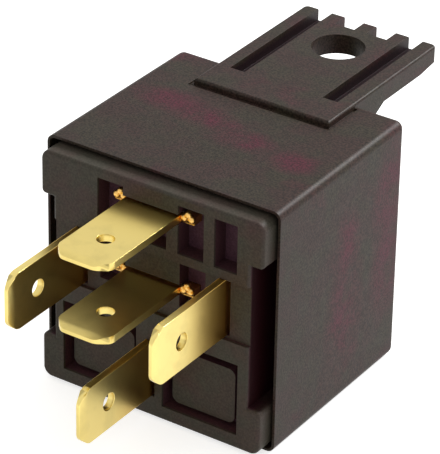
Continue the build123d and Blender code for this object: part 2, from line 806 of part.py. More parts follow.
def make_armature():
    """The flat plate, narrower at its free end."""
    low = armature_low_z
    high = armature_high_z
    neck = coil_axis_z + armature_neck_above_axis
    plan = Polygon(
        (-armature_width / 2, low), (armature_width / 2, low),
        (armature_width / 2, neck), (armature_tip_width / 2, high),
        (-armature_tip_width / 2, high), (-armature_width / 2, neck),
        align=None,
    )
    body = extrude(Plane.XZ.offset(-armature_y) * plan, amount=-iron_thickness)
    for side in (-1, 1):
        body -= rod_along_y(
            rivet_diameter + 2 * rivet_gap, armature_y - 1, leaf_y + 1, side * rivet_pitch / 2,
            armature_rivet_z,
        )
    return one_solid(opened(body))


def make_contact_spring():
    """The leaf: flat on the armature, round the hinge in a loop, and flat on the yoke's leg."""
    tail_z = yoke_outer_z - leaf_thickness / 2
    loop_z = yoke_outer_z - leaf_loop_drop
    line_y = leaf_y + leaf_thickness / 2
    tip_z = contact_z + leaf_tip_width / 2
    tail_end_y = hinge_y - leaf_tail_length
    joggle_y = hinge_y - leaf_tail_length * leaf_joggle_share
    line = FilletPolyline(
        (tail_end_y, tail_z), (joggle_y, tail_z), (joggle_y + leaf_joggle_length, loop_z),
        opened_point(line_y, loop_z), opened_point(line_y, tip_z),
        radius=leaf_bend_radius,
    )
    body = extrude(
        Plane.YZ.offset(-leaf_width / 2) * trace(line, leaf_thickness), amount=leaf_width)
    shoulder_z = armature_rivet_z + leaf_shoulder_above_rivet
    neck_z = shoulder_z + leaf_neck_length
    plan = Polygon(
        (-leaf_width / 2, 0), (leaf_width / 2, 0), (leaf_width / 2, shoulder_z),
        (leaf_tip_width / 2, neck_z), (leaf_tip_width / 2, tip_z + 1),
        (-leaf_tip_width / 2, tip_z + 1), (-leaf_tip_width / 2, neck_z),
        (-leaf_width / 2, shoulder_z),
        align=None,
    )
    body &= extrude(Plane.XZ.offset(-mouth_y) * plan, amount=-case_depth)
    body -= block(
        -leaf_window_width / 2, leaf_window_width / 2, joggle_y, back_y, 0,
        hinge_z + leaf_window_above_hinge,
    )
    for side in (-1, 1):
        x = side * rivet_pitch / 2
        hole = rivet_diameter + 2 * rivet_gap
        body -= opened(rod_along_y(hole, leaf_y - 1, leaf_back_y + 1, x, armature_rivet_z))
        body -= rod_along_z(hole, yoke_outer_z - 1, yoke_outer_z + 0.5, x, tail_rivet_y)
    hole = contact_shank_diameter + 2 * rivet_gap
    body -= opened(rod_along_y(hole, leaf_y - 1, leaf_back_y + 1, 0, contact_z))
    return one_solid(body)


def make_moving_contact():
    """A silver rivet with a domed face on each side of the leaf."""
    front = headed(contact_head, contact_diameter, contact_dome, 0.01, contact_shank_diameter)
    back = headed(
        contact_head, contact_diameter, contact_dome, leaf_thickness, contact_shank_diameter)
    body = Pos(0, leaf_back_y, contact_z) * back
    body += Pos(0, leaf_y, contact_z) * Rot(180, 0, 0) * front
    return one_solid(opened(body))


def fixed_contact():
    """A silver rivet with a domed face at +Y and its tail headed over behind the arm."""
    body = headed(
        contact_head, contact_diameter, contact_dome, blade_thickness, contact_shank_diameter)
    return body + rod_along_y(
        contact_tail_diameter, -blade_thickness - contact_tail_head, -blade_thickness, 0, 0)


def make_armature_rivet(side):
    """A rivet from the leaf through the armature, flush on the pole's side."""
    shank = leaf_thickness + iron_thickness - rivet_inset
    body = headed(rivet_head, rivet_head_diameter, contact_dome, shank, rivet_diameter)
    return one_solid(opened(Pos(side * rivet_pitch / 2, leaf_back_y, armature_rivet_z) * body))


def make_spring_rivet(side):
    """A rivet from the leaf's tail through the yoke's leg, flush on the coil's side."""
    shank = leaf_thickness + iron_thickness - rivet_inset
    body = headed(rivet_head, rivet_head_diameter, contact_dome, shank, rivet_diameter)
    seat = Pos(side * rivet_pitch / 2, tail_rivet_y, yoke_outer_z - leaf_thickness)
    return one_solid(seat * Rot(-90, 0, 0) * body)


def make_terminal_rivet():
    """A rivet from the tab of terminal 30 through the yoke's foot, flush under the bobbin."""
    shank = blade_thickness + iron_thickness - rivet_inset
    body = headed(rivet_head, rivet_head_diameter, contact_dome, shank, rivet_diameter)
    seat = Pos(terminal_rivet_x, foot_y - blade_thickness, terminal_rivet_z)
    return one_solid(seat * Rot(180, 0, 0) * body)


parts = {
    "case": make_case(),
    "base": make_base(),
    "terminal_30": make_terminal_30(),
    "terminal_85": make_coil_terminal(-1),
    "terminal_86": make_coil_terminal(1),
    "terminal_87": make_terminal_87(),
    "terminal_87a": make_terminal_87a(),
    "yoke": make_yoke(),
    "core": make_core(),
    "bobbin": make_bobbin(),
    "coil_winding": make_winding(),
    "coil_lead_start": make_lead(1),
    "coil_lead_finish": make_lead(-1),
    "armature": make_armature(),
    "contact_spring": make_contact_spring(),
    "moving_contact": make_moving_contact(),
    "fixed_contact_no": one_solid(Pos(0, no_arm_y, contact_z) * fixed_contact()),
    "fixed_contact_nc": one_solid(Pos(0, nc_arm_y, contact_z) * Rot(180, 0, 0) * fixed_contact()),
    "armature_rivet_left": make_armature_rivet(-1),
    "armature_rivet_right": make_armature_rivet(1),
    "spring_rivet_left": make_spring_rivet(-1),
    "spring_rivet_right": make_spring_rivet(1),
    "terminal_rivet": make_terminal_rivet(),
}

os.makedirs("parts", exist_ok=True)
for name, solid in parts.items():
    export_step(solid, f"parts/{name}.step")
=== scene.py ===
# %% [markdown]
# A plug-in automotive relay, lying on the flat side of its case, with its blades towards us.
# The engineering model comes in finished as solids. This lesson dresses it: it softens the
# moulded and stamped edges, winds the coil, and gives every piece the finish of the real one.
# Blender measures in metres. Sizes are easier to read in millimetres, so they are multiplied by
# MM, or their name or comment says that they are in millimetres.

# %% Load the solids
import json
import math
from contextlib import contextmanager

import bmesh
import bpy
from mathutils import Matrix, Vector

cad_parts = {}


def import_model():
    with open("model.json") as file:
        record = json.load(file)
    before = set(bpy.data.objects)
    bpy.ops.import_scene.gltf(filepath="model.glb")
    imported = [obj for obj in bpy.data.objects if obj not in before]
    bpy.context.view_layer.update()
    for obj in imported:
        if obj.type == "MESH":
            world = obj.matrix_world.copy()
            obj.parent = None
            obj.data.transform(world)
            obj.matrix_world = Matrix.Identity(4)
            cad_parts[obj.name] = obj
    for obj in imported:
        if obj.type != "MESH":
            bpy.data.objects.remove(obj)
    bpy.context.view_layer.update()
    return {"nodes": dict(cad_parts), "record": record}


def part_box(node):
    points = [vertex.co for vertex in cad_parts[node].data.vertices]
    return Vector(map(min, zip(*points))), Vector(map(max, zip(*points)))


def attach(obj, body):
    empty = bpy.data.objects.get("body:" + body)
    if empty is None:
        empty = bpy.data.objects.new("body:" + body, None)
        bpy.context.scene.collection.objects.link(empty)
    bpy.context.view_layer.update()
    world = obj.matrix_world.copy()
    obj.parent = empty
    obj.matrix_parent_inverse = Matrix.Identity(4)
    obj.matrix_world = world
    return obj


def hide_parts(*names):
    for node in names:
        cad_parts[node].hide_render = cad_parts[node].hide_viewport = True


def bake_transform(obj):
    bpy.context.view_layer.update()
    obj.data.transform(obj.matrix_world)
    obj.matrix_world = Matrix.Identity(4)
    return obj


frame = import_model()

MM = 0.001
print("solids:", len(frame["nodes"]))

# %% [markdown]
# The camera stands where the photographer stood: to the right of the blades and above them, far
# away with a long lens, so that parallel edges stay nearly parallel. Its angles and distance come
# from matching the straight edges of the case and blades. A slight roll is kept, because the
# picture has it. The frame is 440 by 454 pixels, so the lens is given for its longer side.

# %% Camera
CAMERA_AZIMUTH = math.radians(33.4116)
CAMERA_ELEVATION = math.radians(30.0080)
CAMERA_ROLL = math.radians(1.1702)
CAMERA_DISTANCE = 310 * MM
CAMERA_TARGET = Vector((7.0201, -11.7777, 23.4861)) * MM
FOCAL_LENGTH_IN_PIXELS = 3269.098
IMAGE_HEIGHT = 454
SENSOR_WIDTH = 36.0
NEAREST_SEEN = 10 * MM
FURTHEST_SEEN = 5.0


def make_camera():
    """The camera at the photograph's angle."""
    flat = math.cos(CAMERA_ELEVATION)
    back = Vector((
        math.sin(CAMERA_AZIMUTH) * flat,
        -math.cos(CAMERA_AZIMUTH) * flat,
        math.sin(CAMERA_ELEVATION),
    ))
    right = Vector((math.cos(CAMERA_AZIMUTH), math.sin(CAMERA_AZIMUTH), 0))
    up = back.cross(right)
    rolled_right = right * math.cos(CAMERA_ROLL) + up * math.sin(CAMERA_ROLL)
    rolled_up = up * math.cos(CAMERA_ROLL) - right * math.sin(CAMERA_ROLL)
    data = bpy.data.cameras.new("camera")
    data.sensor_width = SENSOR_WIDTH
    data.lens = FOCAL_LENGTH_IN_PIXELS * SENSOR_WIDTH / IMAGE_HEIGHT
    data.clip_start = NEAREST_SEEN
    data.clip_end = FURTHEST_SEEN
    camera = bpy.data.objects.new("camera", data)
    bpy.context.scene.collection.objects.link(camera)
    turned_axes = Matrix((rolled_right, rolled_up, back)).transposed().to_4x4()
    place = Matrix.Translation(CAMERA_TARGET + back * CAMERA_DISTANCE)
    camera.matrix_world = place @ turned_axes
    return camera


bpy.context.scene.camera = make_camera()
print("camera at", [round(c / MM, 1) for c in bpy.context.scene.camera.location], "mm")

# %% [markdown]
# The picture has a plain white ground with hardly a shadow. It could be a sheet lit until it burns
# out, but then the sheet would light the relay too. So the floor and the world are made white by
# Light Path, only where the camera looks, also by way of the shine on the brass. For the light
# that falls on things, the floor is a pale grey sheet, which holds a soft shadow.

# %% Floor and backdrop
FLOOR_SIZE = 4.0
FLOOR_DROP = 0.02 * MM
FLOOR_SHADE = (0.62, 0.62, 0.62)
FLOOR_ROUGHNESS = 0.9
FLOOR_GLOW = 0.70
WORLD_LIGHT = 0.78
WORLD_LIGHT_COLOUR = (1.0, 0.99, 0.97)
WHITE = (1.0, 1.0, 1.0)


def feed(tree, socket, value):
    """Gives a socket a number, a colour, or the output of another node."""
    if isinstance(value, (int, float)):
        socket.default_value = value
    elif isinstance(value, tuple):
        socket.default_value = (*value, 1)
    else:
        tree.links.new(value, socket)


def combined(tree, operation, first, second):
    """Two numbers put together by a named operation."""
    made = tree.nodes.new("ShaderNodeMath")
    made.operation = operation
    feed(tree, made.inputs[0], first)
    feed(tree, made.inputs[1], second)
    return made.outputs[0]


def seen(tree):
    """1 where the camera looks, also by way of gloss or glass, and 0 for light on things."""
    rays = tree.nodes.new("ShaderNodeLightPath").outputs
    direct_or_in_gloss = combined(tree, "MAXIMUM", rays["Is Camera Ray"], rays["Is Glossy Ray"])
    return combined(tree, "MAXIMUM", direct_or_in_gloss, rays["Is Transmission Ray"])


def background(tree, colour, strength):
    """One plain surround."""
    made = tree.nodes.new("ShaderNodeBackground")
    feed(tree, made.inputs["Color"], colour)
    feed(tree, made.inputs["Strength"], strength)
    return made.outputs[0]


def make_world():
    """A surround that looks white and gives a softer light than that."""
    world = bpy.data.worlds.new("surround")
    world.use_nodes = True
    tree = world.node_tree
    tree.nodes.clear()
    mix = tree.nodes.new("ShaderNodeMixShader")
    tree.links.new(seen(tree), mix.inputs[0])
    tree.links.new(background(tree, WORLD_LIGHT_COLOUR, WORLD_LIGHT), mix.inputs[1])
    tree.links.new(background(tree, WHITE, 1.0), mix.inputs[2])
    output = tree.nodes.new("ShaderNodeOutputWorld")
    tree.links.new(mix.outputs[0], output.inputs["Surface"])
    bpy.context.scene.world = world
    return world


def make_floor():
    """A pale sheet under the relay, which looks white but gives only the light it gets."""
    bpy.ops.mesh.primitive_plane_add(size=FLOOR_SIZE, location=(0, 0, -FLOOR_DROP))
    floor = bpy.context.object
    floor.name = "floor"
    material = bpy.data.materials.new("paper_floor")
    material.use_nodes = True
    tree = material.node_tree
    shader = tree.nodes["Principled BSDF"]
    feed(tree, shader.inputs["Base Color"], FLOOR_SHADE)
    feed(tree, shader.inputs["Roughness"], FLOOR_ROUGHNESS)
    feed(tree, shader.inputs["Specular IOR Level"], 0.0)
    feed(tree, shader.inputs["Emission Color"], WHITE)
    glow = combined(tree, "MULTIPLY", seen(tree), FLOOR_GLOW)
    feed(tree, shader.inputs["Emission Strength"], glow)
    floor.data.materials.append(material)
    return floor


print("world:", make_world().name)
print("floor:", make_floor().name, FLOOR_SIZE, "m wide")

# %% [markdown]
# The world gives most of the light, evenly from all sides, like the light tent of a product
# photograph. Two soft lamps, each wider than the relay, add what a tent lacks: a faint one from
# the right, and a stronger one from behind, above and to the right, which picks out the ridges
# of the bracket. A small bare lamp would throw a hard shadow that the picture doesn't have.

# %% Lamps
LAMPS_AIM_AT = Vector((0, 0, 13)) * MM
LAMP_DISTANCE = 0.6


def softbox(name, towards, size, watts):
    """A square area lamp that stands in a given direction and looks at the relay."""
    data = bpy.data.lights.new(name, "AREA")
    data.shape = "SQUARE"
    data.size = size
    data.energy = watts
    lamp = bpy.data.objects.new(name, data)
    bpy.context.scene.collection.objects.link(lamp)
    direction = Vector(towards).normalized()
    lamp.location = LAMPS_AIM_AT + direction * LAMP_DISTANCE
    lamp.rotation_mode = "QUATERNION"
    lamp.rotation_quaternion = direction.to_track_quat("Z", "Y")
    print(name, "at", [round(c, 2) for c in lamp.location], "m")
    return lamp


softbox("side_softbox", towards=(0.95, 0.30, 0.70), size=0.40, watts=0.1)
softbox("ridge_softbox", towards=(0.30, 0.72, 0.62), size=0.22, watts=3.9)
bpy.context.scene.view_settings.view_transform = "Standard"

# %% [markdown]
# Every finish below is one node material, built by a short function. It could be painted as an
# image instead, but nodes stay sharp close up and fit any shape. Three helpers start a finish:
# one makes the material, one gives the place on the piece in millimetres, and one adds a noise
# whose size is in millimetres too, so that grain and mottling are as coarse as on the real thing.

# %% A finish, a place and a noise
NOISE_LOW = 0.3
NOISE_HIGH = 0.7


def new_finish(name, roughness, metallic=0.0):
    """A fresh node material: returns it with its tree and its shader."""
    material = bpy.data.materials.new(name)
    material.use_nodes = True
    tree = material.node_tree
    shader = tree.nodes["Principled BSDF"]
    feed(tree, shader.inputs["Roughness"], roughness)
    feed(tree, shader.inputs["Metallic"], metallic)
    return material, tree, shader


def place_in_mm(tree):
    """The place on the piece, measured in millimetres."""
    coordinates = tree.nodes.new("ShaderNodeTexCoord")
    scaled = tree.nodes.new("ShaderNodeVectorMath")
    scaled.operation = "SCALE"
    feed(tree, scaled.inputs["Scale"], 1 / MM)
    tree.links.new(coordinates.outputs["Object"], scaled.inputs[0])
    return scaled.outputs[0]


def noise(tree, place, feature_mm, detail=2.0, stretch=(1, 1, 1)):
    """A noise with blotches about feature_mm across; stretch draws them out along an axis.

    Nearly all of it lies between NOISE_LOW and NOISE_HIGH.
    """
    mapping = tree.nodes.new("ShaderNodeMapping")
    mapping.inputs["Scale"].default_value = [1 / s for s in stretch]
    tree.links.new(place, mapping.inputs["Vector"])
    made = tree.nodes.new("ShaderNodeTexNoise")
    feed(tree, made.inputs["Scale"], 1 / feature_mm)
    feed(tree, made.inputs["Detail"], detail)
    tree.links.new(mapping.outputs[0], made.inputs["Vector"])
    return made.outputs["Fac"]


# %% [markdown]
# A noise is only a number from 0 to 1. These helpers make something of it: a colour, a share that
# says how much of a stain or of painted shade there is, or a slightly uneven surface. Painted shade
# that belongs to one corner of a piece is the product of several shares, one for each side where it
# ends. Each share has a soft edge, given as the two places between which it changes.

# %% Colours, shares and an uneven surface
FIRST_COLOUR, SECOND_COLOUR, MIXED_COLOUR = 6, 7, 2


def ramp(tree, value, start, end):
    """A colour that goes from one (position, colour) stop to another."""
    made = tree.nodes.new("ShaderNodeValToRGB")
    for element, (position, colour) in zip(made.color_ramp.elements, (start, end)):
        element.position = position
        element.color = (*colour, 1)
    tree.links.new(value, made.inputs["Fac"])
    return made.outputs["Color"]


def between(tree, value, low, high, new_low, new_high):
    """Maps a value from one range to another."""
    made = tree.nodes.new("ShaderNodeMapRange")
    numbers = {"From Min": low, "From Max": high, "To Min": new_low, "To Max": new_high}
    for socket, number in numbers.items():
        feed(tree, made.inputs[socket], number)
    tree.links.new(value, made.inputs["Value"])
    return made.outputs["Result"]


def past(tree, value, edge):
    """A share that is 0 before a soft edge and 1 past it."""
    return between(tree, value, *edge, 0.0, 1.0)


def before(tree, value, edge):
    """A share that is 1 before a soft edge and 0 past it."""
    return between(tree, value, *edge, 1.0, 0.0)


def all_of(tree, share, *others):
    """The product of some shares: 1 only where each of them is 1."""
    for other in others:
        share = combined(tree, "MULTIPLY", share, other)
    return share


def parts_of(tree, vector):
    """The X, Y and Z of a vector, as outputs with those names."""
    made = tree.nodes.new("ShaderNodeSeparateXYZ")
    tree.links.new(vector, made.inputs[0])
    return made.outputs


def mixed(tree, factor, first, second, way="MIX"):
    """Two colours mixed by a factor, in a named way."""
    made = tree.nodes.new("ShaderNodeMix")
    made.data_type = "RGBA"
    made.blend_type = way
    feed(tree, made.inputs["Factor"], factor)
    feed(tree, made.inputs[FIRST_COLOUR], first)
    feed(tree, made.inputs[SECOND_COLOUR], second)
    return made.outputs[MIXED_COLOUR]


def multiplied(tree, first, second):
    """Two colours multiplied."""
    return mixed(tree, 1.0, first, second, "MULTIPLY")


def bump(tree, shader, height, depth_mm, previous=None):
    """Raises the surface by up to depth_mm where height is 1, on top of a previous bump."""
    made = tree.nodes.new("ShaderNodeBump")
    feed(tree, made.inputs["Distance"], depth_mm * MM)
    tree.links.new(height, made.inputs["Height"])
    if previous is not None:
        tree.links.new(previous, made.inputs["Normal"])
    tree.links.new(made.outputs["Normal"], shader.inputs["Normal"])
    return made.outputs["Normal"]


# %% [markdown]
# The solids have knife-sharp edges, but no moulded or stamped edge is sharp: each catches a thin
# line of light. A bevel could be faked in the shader, but real rounded geometry belongs to the mesh
# itself. So a piece is copied from its solid, its flat faces are joined up again, and a bevel
# modifier rounds what is left of the sharp edges. Where there is no room for it, the bevel leaves
# corners on top of each other, and those are joined up at the end.

# %% Copy a solid and soften its edges
FLAT_ANGLE = math.radians(0.6)
MERGE_DISTANCE = 0.0005 * MM
SHARP_EDGE = 28


@contextmanager
def editing(mesh):
    """Opens a mesh's shape for editing, and writes it back at the end."""
    shape = bmesh.new()
    shape.from_mesh(mesh)
    yield shape
    shape.to_mesh(mesh)
    shape.free()


def merge_close_corners(shape):
    """Joins up the corners that lie on top of each other."""
    bmesh.ops.remove_doubles(shape, verts=shape.verts, dist=MERGE_DISTANCE)


def copy_of(node, name):
    """A new mesh object with the shape of a solid, its flat faces whole again."""
    mesh = frame["nodes"][node].data.copy()
    mesh.name = name
    mesh.materials.clear()
    piece = bpy.data.objects.new(name, mesh)
    bpy.context.scene.collection.objects.link(piece)
    with editing(mesh) as shape:
        merge_close_corners(shape)
        bmesh.ops.dissolve_limit(
            shape, angle_limit=FLAT_ANGLE, verts=shape.verts, edges=shape.edges,
            delimit={"NORMAL"})
    return piece


def apply_modifiers(piece):
    """Turns the modified shape into the piece's own mesh."""
    graph = bpy.context.evaluated_depsgraph_get()
    finished = bpy.data.meshes.new_from_object(piece.evaluated_get(graph))
    piece.modifiers.clear()
    piece.data = finished


def soften(piece, width_mm, segments=2, sharper_than=SHARP_EDGE):
    """Rounds the edges of a piece that are sharper than an angle in degrees."""
    bevel = piece.modifiers.new("bevel", "BEVEL")
    bevel.width = width_mm * MM
    bevel.segments = segments
    bevel.limit_method = "ANGLE"
    bevel.angle_limit = math.radians(sharper_than)
    bevel.harden_normals = False
    bevel.use_clamp_overlap = True
    apply_modifiers(piece)
    with editing(piece.data) as shape:
        merge_close_corners(shape)
    return piece


# %% [markdown]
# A finished piece needs smooth shading on its rounded edges, but its large faces must still look
# flat. Weighted normals do both: a corner takes its direction mostly from the largest face that
# meets there. Each piece also hides the solid it stands for, gets the finish of the relay's
# material it is made of, and, unless told otherwise, rides with that solid's body.

# %% Shade a piece and give it its place
SMOOTH_UP_TO = math.radians(35)
WEIGHT_OF_LARGE_FACES = 90
BODY_OF = {
    node: body
    for body, nodes in frame["record"]["behaviour"]["bodies"].items()
    for node in nodes
}


def finish_piece(piece, node, material, rides=True):
    piece.data.materials.clear()
    piece.data.materials.append(material)
    for polygon in piece.data.polygons:
        polygon.use_smooth = True
        polygon.material_index = 0
    piece.data.set_sharp_from_angle(angle=SMOOTH_UP_TO)
    flat = piece.modifiers.new("flat_faces_stay_flat", "WEIGHTED_NORMAL")
    flat.keep_sharp = True
    flat.weight = WEIGHT_OF_LARGE_FACES
    apply_modifiers(piece)
    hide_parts(node)
    if rides:
        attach(piece, BODY_OF[node])
    print(f"{piece.name}: {len(piece.data.polygons)} faces")


def dressed(node, name, material, width_mm, segments=2, sharper_than=SHARP_EDGE):
    """The usual way to dress a solid: copy it, soften it, finish it."""
    piece = soften(copy_of(node, name), width_mm, segments, sharper_than)
    finish_piece(piece, node, material)


# %% [markdown]
# The case is moulded in black glass-filled nylon. Its colour isn't a pure black: it is a very
# dark grey that wavers between warm and cool, and here and there it turns wine-red. Small random
# clouds are sprinkled by a noise. The large patches have a place of their own, so each is
# a soft ellipsoid round a point of the case, its rim frayed by another noise.

# %% Wine-red patches on the case
WINE_PATCHES = [
    # The centre of each patch and its reach along X, Y and Z, in millimetres.
    ((-7.8, 1.4, 27.0), (3.8, 2.0, 2.5)),
    ((-2.6, 0.2, 27.0), (3.8, 1.9, 2.5)),
    ((3.0, -1.5, 27.0), (2.9, 1.8, 2.5)),
    ((9.3, -2.5, 27.0), (2.4, 1.9, 2.0)),
    ((13.6, 9.0, 20.0), (2.4, 2.9, 6.4)),
    ((13.6, 8.8, 12.0), (2.4, 2.7, 6.0)),
    ((13.6, 0.8, 10.0), (2.4, 3.0, 5.0)),
    ((13.6, 1.2, 17.5), (2.4, 2.2, 3.6)),
]
PATCH_RIM = (0.45, 1.35)
CLOUD_RIM = (0.57, 0.77)
CLOUD_STRENGTH = 0.7
FRAY_RIM = (0.34, 0.56)
FRAY_LEAVES = 0.3


def patch(tree, place, centre, reach):
    """1 in the middle of a soft ellipsoid and 0 outside it."""
    mapping = tree.nodes.new("ShaderNodeMapping")
    mapping.inputs["Location"].default_value = [-c / r for c, r in zip(centre, reach)]
    mapping.inputs["Scale"].default_value = [1 / r for r in reach]
    tree.links.new(place, mapping.inputs["Vector"])
    length = tree.nodes.new("ShaderNodeVectorMath")
    length.operation = "LENGTH"
    tree.links.new(mapping.outputs[0], length.inputs[0])
    return before(tree, length.outputs["Value"], PATCH_RIM)


def wine_share(tree, place, patches):
    """How wine-red the plastic is: large patches with frayed rims, and small random clouds."""
    cloud = noise(tree, place, feature_mm=6.0, detail=5.0)
    share = between(tree, cloud, *CLOUD_RIM, 0.0, CLOUD_STRENGTH)
    frayed = noise(tree, place, feature_mm=2.6, detail=5.0)
    fray = between(tree, frayed, *FRAY_RIM, FRAY_LEAVES, 1.0)
    for centre, reach in patches:
        one_patch = all_of(tree, patch(tree, place, centre, reach), fray)
        share = combined(tree, "MAXIMUM", share, one_patch)
    return share


print("wine-red patches:", len(WINE_PATCHES))

# %% [markdown]
# The compound itself is shared by the case and the base. A fine noise does two things at once: it
# speckles the colour and roughens the surface, like the grain of a spark-eroded mould. A coarser
# one makes the faces a little wavy, as thick plastic sinks while it cools. The gloss stays low,
# because the picture shows only a broad soft sheen.

# %% Black moulding compound
WARM_TO_COOL = (0.42, 0.6)
SPECKLE_FROM_TO = (0.36, 0.64)
PLASTIC_SPECULAR = 0.14


def black_nylon(name, roughness, tones, patches=(), speck=0.30):
    """Black moulding compound: returns the material and what is needed to colour it further."""
    material, tree, shader = new_finish(name, roughness)
    place = place_in_mm(tree)
    warm, cool, wine = tones
    mottle = noise(tree, place, feature_mm=3.5, detail=4.0)
    plain = ramp(tree, mottle, (WARM_TO_COOL[0], warm), (WARM_TO_COOL[1], cool))
    colour = mixed(tree, wine_share(tree, place, patches), plain, wine)
    grain = noise(tree, place, feature_mm=0.2, detail=3.0)
    speckle = ramp(
        tree, grain, (SPECKLE_FROM_TO[0], (speck, speck, speck)), (SPECKLE_FROM_TO[1], WHITE))
    gloss = noise(tree, place, feature_mm=1.2, detail=3.0)
    matte = between(tree, gloss, NOISE_LOW, NOISE_HIGH, roughness - 0.02, roughness + 0.03)
    feed(tree, shader.inputs["Roughness"], matte)
    grainy = bump(tree, shader, grain, depth_mm=0.010)
    wave = noise(tree, place, feature_mm=2.2, detail=2.0)
    bump(tree, shader, wave, depth_mm=0.004, previous=grainy)
    feed(tree, shader.inputs["Specular IOR Level"], PLASTIC_SPECULAR)
    feed(tree, shader.inputs["Base Color"], multiplied(tree, colour, speckle))
    return material, colour, speckle


def recolour(material, colour, speckle):
    """Gives the compound another colour under the same speckle."""
    tree = material.node_tree
    shader = tree.nodes["Principled BSDF"]
    feed(tree, shader.inputs["Base Color"], multiplied(tree, colour, speckle))


# %% [markdown]
# The bracket has two long grooves in its upper side. They are given painted shade, darker and
# redder than the rest and deeper than their depth alone would cast, by a share that ends at a
# groove's sides, floor, rim and start.

# %% The case
WARM_BLACK = (0.0430, 0.0235, 0.0190)
COOL_BLACK = (0.0375, 0.0290, 0.0185)
WINE_BLACK = (0.0790, 0.0130, 0.0240)
CASE_ROUGHNESS = 0.44
CASE_EDGE_MM = 0.12
# The soft edges of the grooves, in millimetres.
GROOVE_INNER_SIDE = (4.55, 4.65)
GROOVE_OUTER_SIDE = (6.4, 6.5)
GROOVE_FLOOR = (25.85, 25.95)
GROOVE_RIM = (26.75, 27.35)
GROOVE_START = (9.7, 9.8)
# Painted shade in the two long grooves, dark wine-red.
GROOVE_PAINTED_SHADE = (0.0160, 0.0042, 0.0068)


def case_nylon():
    """The case's plastic, with painted shade, dark wine-red, down in the two long grooves of the
    bracket.
    """
    tones = (WARM_BLACK, COOL_BLACK, WINE_BLACK)
    material, colour, speckle = black_nylon("case_nylon", CASE_ROUGHNESS, tones, WINE_PATCHES)
    tree = material.node_tree
    place = parts_of(tree, place_in_mm(tree))
    from_middle = combined(tree, "ABSOLUTE", place["X"], 0.0)
    groove_shade_share = all_of(
        tree,
        past(tree, from_middle, GROOVE_INNER_SIDE),
        before(tree, from_middle, GROOVE_OUTER_SIDE),
        past(tree, place["Z"], GROOVE_FLOOR),
        before(tree, place["Z"], GROOVE_RIM),
        past(tree, place["Y"], GROOVE_START),
    )
    recolour(material, mixed(tree, groove_shade_share, colour, GROOVE_PAINTED_SHADE), speckle)
    return material


dressed("case", "case_cover", case_nylon(), CASE_EDGE_MM)

# %% [markdown]
# The base is moulded in the same compound. Its recesses get painted shade: wine-red on the pockets'
# floors, darker on their walls, and almost black in the two side notches. These places are told
# apart from the face by where they are, how deep behind it and how far out, and the pockets' floors
# and walls also by the way they face. Painting faces one by one would be exact too, but it would
# have to be done again whenever the solid changes.

# %% The base
BASE_ROUGHNESS = 0.5
BASE_SPECK = 0.66
BASE_EDGE_MM = 0.1
BASE_TONES = ((0.059, 0.044, 0.035), (0.054, 0.049, 0.037), (0.069, 0.029, 0.033))
# Painted shade: wine-red on the pockets' floors, darker on their walls, nearly black in the side
# notches.
POCKET_FLOOR_PAINTED_SHADE = (0.080, 0.034, 0.049)
POCKET_WALL_PAINTED_SHADE = (0.062, 0.025, 0.031)
NOTCH_PAINTED_SHADE = (0.017, 0.0024, 0.0038)
# Soft edges in millimetres, from the middle of the base, up from the floor, and behind its face.
BASE_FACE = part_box("base")[0][1] / MM
NOTCH_FROM_MIDDLE = (11.4, 11.5)
NOTCH_LOW = (5.2, 5.4)
NOTCH_HIGH = (21.3, 21.5)
NOTCH_STARTS = (BASE_FACE + 0.25, BASE_FACE + 0.6)
POCKETS_FROM_MIDDLE = (12.0, 12.3)
POCKETS_LOW = (0.9, 1.2)
POCKETS_HIGH = (24.9, 25.3)
POCKETS_END = (BASE_FACE + 2.1, BASE_FACE + 2.3)
WALLS_START = (BASE_FACE + 0.15, BASE_FACE + 0.4)
FLOORS_START = (BASE_FACE + 1.0, BASE_FACE + 1.3)
# The Y of a surface's direction: -1 where it faces the blades' tips, 0 where it is a side wall.
FACES_TIPS = (-0.9, -0.6)
FACES_SIDEWAYS = (-0.8, -0.4)


def base_nylon():
    """The case's plastic with painted shade: wine-red in the pockets, nearly black in the side
    notches.
    """
    material, colour, speckle = black_nylon(
        "base_nylon", BASE_ROUGHNESS, BASE_TONES, speck=BASE_SPECK)
    tree = material.node_tree
    place = parts_of(tree, place_in_mm(tree))
    from_middle = combined(tree, "ABSOLUTE", place["X"], 0.0)
    depth, height = place["Y"], place["Z"]
    facing = parts_of(tree, tree.nodes.new("ShaderNodeNewGeometry").outputs["Normal"])["Y"]
    notch_shade_share = all_of(
        tree,
        past(tree, from_middle, NOTCH_FROM_MIDDLE),
        past(tree, height, NOTCH_LOW),
        before(tree, height, NOTCH_HIGH),
        past(tree, depth, NOTCH_STARTS),
    )
    pocket_shade_area = all_of(
        tree,
        before(tree, from_middle, POCKETS_FROM_MIDDLE),
        past(tree, height, POCKETS_LOW),
        before(tree, height, POCKETS_HIGH),
        before(tree, depth, POCKETS_END),
    )
    wall_shade_share = all_of(
        tree, past(tree, facing, FACES_SIDEWAYS), past(tree, depth, WALLS_START), pocket_shade_area)
    floor_shade_share = all_of(
        tree, before(tree, facing, FACES_TIPS), past(tree, depth, FLOORS_START), pocket_shade_area)
    for share, painted_shade in ((wall_shade_share, POCKET_WALL_PAINTED_SHADE), (floor_shade_share, POCKET_FLOOR_PAINTED_SHADE), (notch_shade_share, NOTCH_PAINTED_SHADE)):
        colour = mixed(tree, share, colour, painted_shade)
    recolour(material, colour, speckle)
    return material


dressed("base", "base_header", base_nylon(), BASE_EDGE_MM)

# %% [markdown]
# The blades are stamped from rolled brass and left bright. Rolling leaves fine streaks along the
# strip, and handling leaves faint darker smears. The metal does most of the work itself: it shows
# the white surround where it faces it and the dark base where it faces that. Some light and shade
# is painted into the colour as well, so there are two such finishes. The upright blades are a shade
# glossier and get painted light, a slightly lighter brass, and towards the base a painted
# reflection of the dark base, browner. The flat blades get painted light near the base, a lighter
# brass. In its pocket each blade gets a painted orange reflection.

